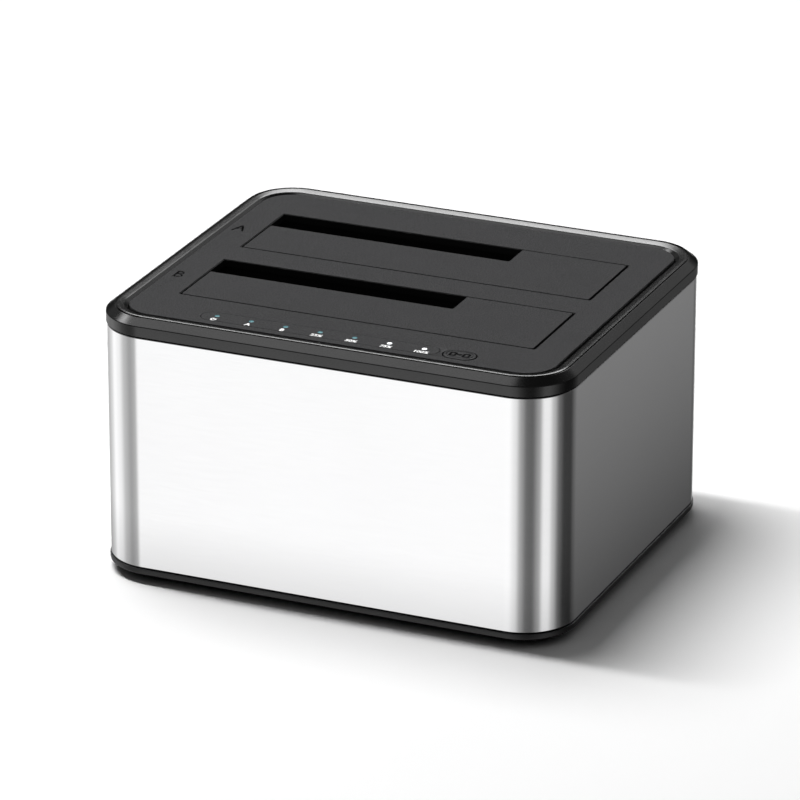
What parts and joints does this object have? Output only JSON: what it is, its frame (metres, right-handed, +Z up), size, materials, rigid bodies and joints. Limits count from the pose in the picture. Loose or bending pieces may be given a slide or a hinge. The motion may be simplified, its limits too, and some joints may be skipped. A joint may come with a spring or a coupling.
{
  "type": "drive duplicator",
  "caption": "Desktop dock with upright hard drive bays under spring flaps, a metal sleeve, indicator lights and a button that starts a copy.",
  "frame": {"origin": "on the floor under the middle of the case", "axes": "+X to the right seen from the front, -Y to the front, +Z up"},
  "size_m": [0.136, 0.1152, 0.0768],
  "materials": {
    "sleeve_aluminium": "satin anodised",
    "bezel_black": "satin moulded ABS",
    "panel_black": "fine matt texture",
    "button_black": "fine matt texture",
    "base_black": "moulded ABS",
    "well_black": "moulded ABS",
    "foot_rubber": "matt",
    "pin_steel": "ground",
    "spring_steel": "drawn wire",
    "screw_steel": "zinc plated",
    "guide_clear": "clear light guide",
    "led_white": "clear package",
    "board_green": "solder mask",
    "connector_black": "moulded",
    "plunger_grey": "moulded",
    "chip_black": "epoxy",
    "can_metal": "drawn can",
    "jack_black": "moulded",
    "rocker_black": "moulded",
    "port_shell": "tin plated",
    "cable_grey": "ribbon"
  },
  "bodies": {
    "root": {"base_plate": "base_black", "bay_well_a": "well_black", "bay_well_b": "well_black", "board_link_cable": "cable_grey", "board_screws": "screw_steel", "body_sleeve": "sleeve_aluminium", "bridge_chip": "chip_black", "cable_headers": "connector_black", "capacitors": "can_metal", "case_screws": "screw_steel", "crystal": "can_metal", "dc_jack": "jack_black", "dc_jack_pin": "pin_steel", "flap_pin_a": "pin_steel", "flap_pin_b": "pin_steel", "flap_spring_a": "spring_steel", "flap_spring_b": "spring_steel", "flash_chip": "chip_black", "foot_front_left": "foot_rubber", "foot_front_right": "foot_rubber", "foot_rear_left": "foot_rubber", "foot_rear_right": "foot_rubber", "indicator_board": "board_green", "indicator_screws": "screw_steel", "indicator_strip": "panel_black", "light_guide_1": "guide_clear", "light_guide_2": "guide_clear", "light_guide_3": "guide_clear", "light_guide_4": "guide_clear", "light_guide_5": "guide_clear", "light_guide_6": "guide_clear", "light_guide_7": "guide_clear", "main_board": "board_green", "power_inductors": "chip_black", "sata_connector_a": "connector_black", "sata_connector_b": "connector_black", "status_leds": "led_white", "switch_housing": "jack_black", "tact_switch": "connector_black", "top_bezel": "bezel_black", "top_panel": "panel_black", "usb_port": "port_shell", "usb_tongue": "connector_black", "well_screws": "screw_steel"},
    "flap_a": {"bay_flap_a": "panel_black"},
    "flap_b": {"bay_flap_b": "panel_black"},
    "start_button": {"clone_button": "button_black"},
    "plunger": {"tact_plunger": "plunger_grey"},
    "rocker": {"power_rocker": "rocker_black"}
  },
  "joints": [
    {"name": "flap_a_hinge", "type": "hinge", "parent": "root", "child": "flap_a", "pos_m": [0, 0.0041, 0.0719], "axis": [-1, 0, 0], "range_deg": [0, 90], "stiffness_Nm_per_rad": 0.006, "springref_deg": -45.84, "deforming": ["flap_spring_a"]},
    {"name": "flap_b_hinge", "type": "hinge", "parent": "root", "child": "flap_b", "pos_m": [0, -0.0354, 0.0719], "axis": [-1, 0, 0], "range_deg": [0, 90], "stiffness_Nm_per_rad": 0.006, "springref_deg": -45.84, "deforming": ["flap_spring_b"]},
    {"name": "start_button_press", "type": "slide", "parent": "root", "child": "start_button", "axis": [0, 0, -1], "range_m": [0, 0.0005], "stiffness_N_per_m": 400, "springref_m": -0.001},
    {"name": "tact_plunger_press", "type": "slide", "parent": "root", "child": "plunger", "axis": [0, 0, -1], "range_m": [0, 0.0005]},
    {"name": "power_rocker_tilt", "type": "hinge", "parent": "root", "child": "rocker", "pos_m": [-0.03, 0.05322, 0.0208], "axis": [0, 0, 1], "range_deg": [0, 16]}
  ],
  "couplings": [
    {"joint": "tact_plunger_press", "follows": "start_button_press", "ratio": 1}
  ]
}
